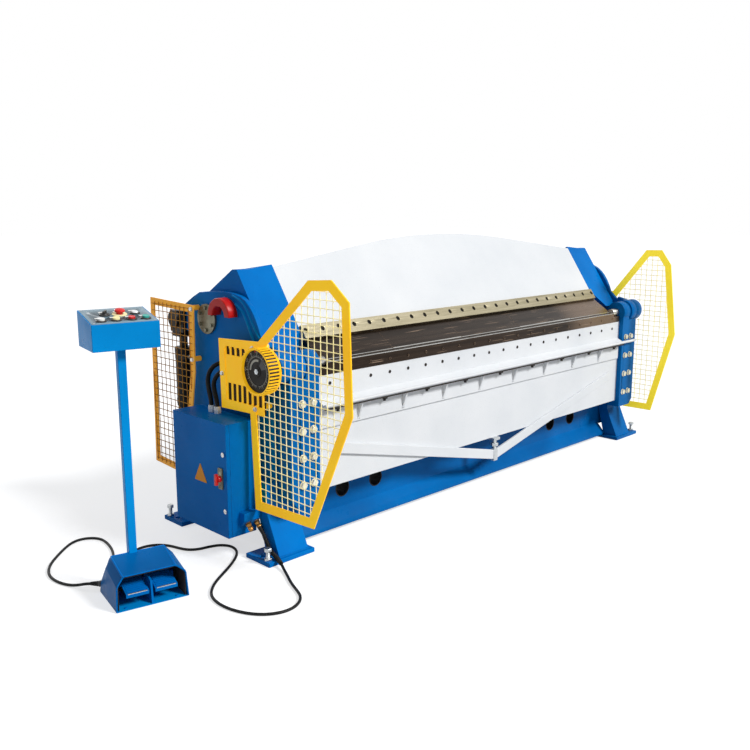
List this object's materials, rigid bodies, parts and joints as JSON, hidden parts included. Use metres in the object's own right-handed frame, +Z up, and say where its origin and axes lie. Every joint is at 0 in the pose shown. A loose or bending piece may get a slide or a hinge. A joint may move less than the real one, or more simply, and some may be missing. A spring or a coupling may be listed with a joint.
{
  "type": "plate folding machine",
  "caption": "Floor-standing plate folding machine: swinging folding beam, arched clamping beam, mesh guards, electric cabinet, control post and foot switch on cables.",
  "frame": {"origin": "on the floor, in the middle of the four anchor holes", "axes": "+X along the working length to the operator's right, -Y towards the operator, +Z up"},
  "size_m": [3.7827, 1.458, 1.338],
  "materials": {
    "blue_paint": "semi-gloss",
    "white_paint": "semi-gloss",
    "yellow_paint": "semi-gloss",
    "grey_paint": "satin",
    "red_paint": "semi-gloss",
    "black_paint": "satin",
    "tool_steel": "ground",
    "bright_steel": "turned",
    "black_steel": "black oxide",
    "bronze": "turned",
    "wire": "semi-gloss",
    "motor": "painted",
    "grey_plastic": "matte",
    "black_plastic": "matte",
    "red_plastic": "gloss",
    "green_plastic": "gloss",
    "lamp_plastic": "gloss",
    "cable_rubber": "matte"
  },
  "bodies": {
    "frame": {"side_frame_left": "blue_paint", "side_frame_right": "blue_paint", "levelling_bolts": "bright_steel", "base_beam": "blue_paint", "bed_beam": "blue_paint", "lower_tool": "tool_steel", "rear_tie": "blue_paint", "trunnion_bushes": "bronze", "swing_actuators": "black_paint", "clamp_pivots": "bright_steel", "lifting_lugs": "red_paint", "clamp_cylinders": "black_paint", "front_guard_left": "yellow_paint", "front_guard_right": "yellow_paint", "mesh_front_left": "wire", "mesh_front_right": "wire", "rear_guards": "yellow_paint", "rear_meshes": "wire", "cabinet_shell": "blue_paint", "cabinet_hinges": "black_steel", "cable_glands": "grey_plastic", "cabinet_conduits": "cable_rubber", "oil_tank": "blue_paint", "pump_motor": "motor", "valve_block": "bright_steel", "console_box": "blue_paint", "console_post": "blue_paint", "pilot_lamp": "lamp_plastic", "foot_hood": "blue_paint", "pedal_pin": "black_steel", "control_cable": "cable_rubber", "pedal_cable": "cable_rubber"},
    "door": {"cabinet_door": "blue_paint", "door_plates": "grey_plastic"},
    "switch": {"switch_handle": "red_plastic"},
    "clamp": {"clamp_beam": "white_paint", "hole_strip": "bright_steel", "upper_blades": "tool_steel", "clamp_ends": "blue_paint"},
    "rods": {"clamp_rods": "black_steel"},
    "fold": {"folding_beam": "white_paint", "fold_blade": "tool_steel", "blade_screws": "black_steel", "fold_ledge": "white_paint", "ledge_nuts": "black_steel", "truss_bars": "white_paint", "king_post": "black_steel", "fold_arms": "blue_paint", "arm_bolts": "bright_steel", "trunnions": "bright_steel", "swing_vanes": "bright_steel", "angle_dial": "grey_plastic"},
    "selector": {"selector_knob": "black_plastic"},
    "estop": {"estop_button": "red_plastic"},
    "fold_push": {"fold_button": "red_plastic"},
    "return_push": {"return_button": "green_plastic"},
    "clamp_push": {"clamp_button": "black_plastic"},
    "start_push": {"start_button": "green_plastic"},
    "left_pedal": {"pedal_left": "blue_paint"},
    "right_pedal": {"pedal_right": "blue_paint"}
  },
  "joints": [
    {"name": "fold_swing", "type": "hinge", "parent": "frame", "child": "fold", "pos_m": [0, -0.372, 0.834], "axis": [-1, 0, 0], "range_deg": [0, 135]},
    {"name": "clamp_swing", "type": "hinge", "parent": "frame", "child": "clamp", "pos_m": [0, 0.145, 0.99], "axis": [1, 0, 0], "range_deg": [-10, 0]},
    {"name": "rod_slide", "type": "slide", "parent": "frame", "child": "rods", "axis": [0, 0, 1], "range_m": [-0.049, 0]},
    {"name": "door_hinge", "type": "hinge", "parent": "frame", "child": "door", "pos_m": [-1.598, 0.161, 0.352], "axis": [0, 0, -1], "range_deg": [0, 110]},
    {"name": "switch_turn", "type": "hinge", "parent": "door", "child": "switch", "pos_m": [-1.63, -0.2, 0.362], "axis": [1, 0, 0], "range_deg": [0, 90]},
    {"name": "selector_turn", "type": "hinge", "parent": "frame", "child": "selector", "pos_m": [-2.08371, -0.16262, 1.09116], "axis": [-0.0385, -0.1812, 0.9827], "range_deg": [-45, 45]},
    {"name": "estop_press", "type": "slide", "parent": "frame", "child": "estop", "axis": [0.0385, 0.1812, -0.9827], "range_m": [0, 0.0035]},
    {"name": "fold_press", "type": "slide", "parent": "frame", "child": "fold_push", "axis": [0.0385, 0.1812, -0.9827], "range_m": [0, 0.004], "stiffness_N_per_m": 400, "springref_m": -0.005},
    {"name": "return_press", "type": "slide", "parent": "frame", "child": "return_push", "axis": [0.0385, 0.1812, -0.9827], "range_m": [0, 0.004], "stiffness_N_per_m": 400, "springref_m": -0.005},
    {"name": "clamp_press", "type": "slide", "parent": "frame", "child": "clamp_push", "axis": [0.0385, 0.1812, -0.9827], "range_m": [0, 0.004], "stiffness_N_per_m": 400, "springref_m": -0.005},
    {"name": "start_press", "type": "slide", "parent": "frame", "child": "start_push", "axis": [0.0385, 0.1812, -0.9827], "range_m": [0, 0.004], "stiffness_N_per_m": 400, "springref_m": -0.005},
    {"name": "left_pedal_press", "type": "hinge", "parent": "frame", "child": "left_pedal", "pos_m": [-2.09097, -0.24487, 0.064], "axis": [0.9781, -0.2079, 0], "range_deg": [0, 8], "stiffness_Nm_per_rad": 8, "springref_deg": -8.59},
    {"name": "right_pedal_press", "type": "hinge", "parent": "frame", "child": "right_pedal", "pos_m": [-1.98141, -0.26815, 0.064], "axis": [0.9781, -0.2079, 0], "range_deg": [0, 8], "stiffness_Nm_per_rad": 8, "springref_deg": -8.59}
  ],
  "couplings": [
    {"joint": "rod_slide", "follows": "clamp_swing", "m_per_rad": 0.28}
  ]
}
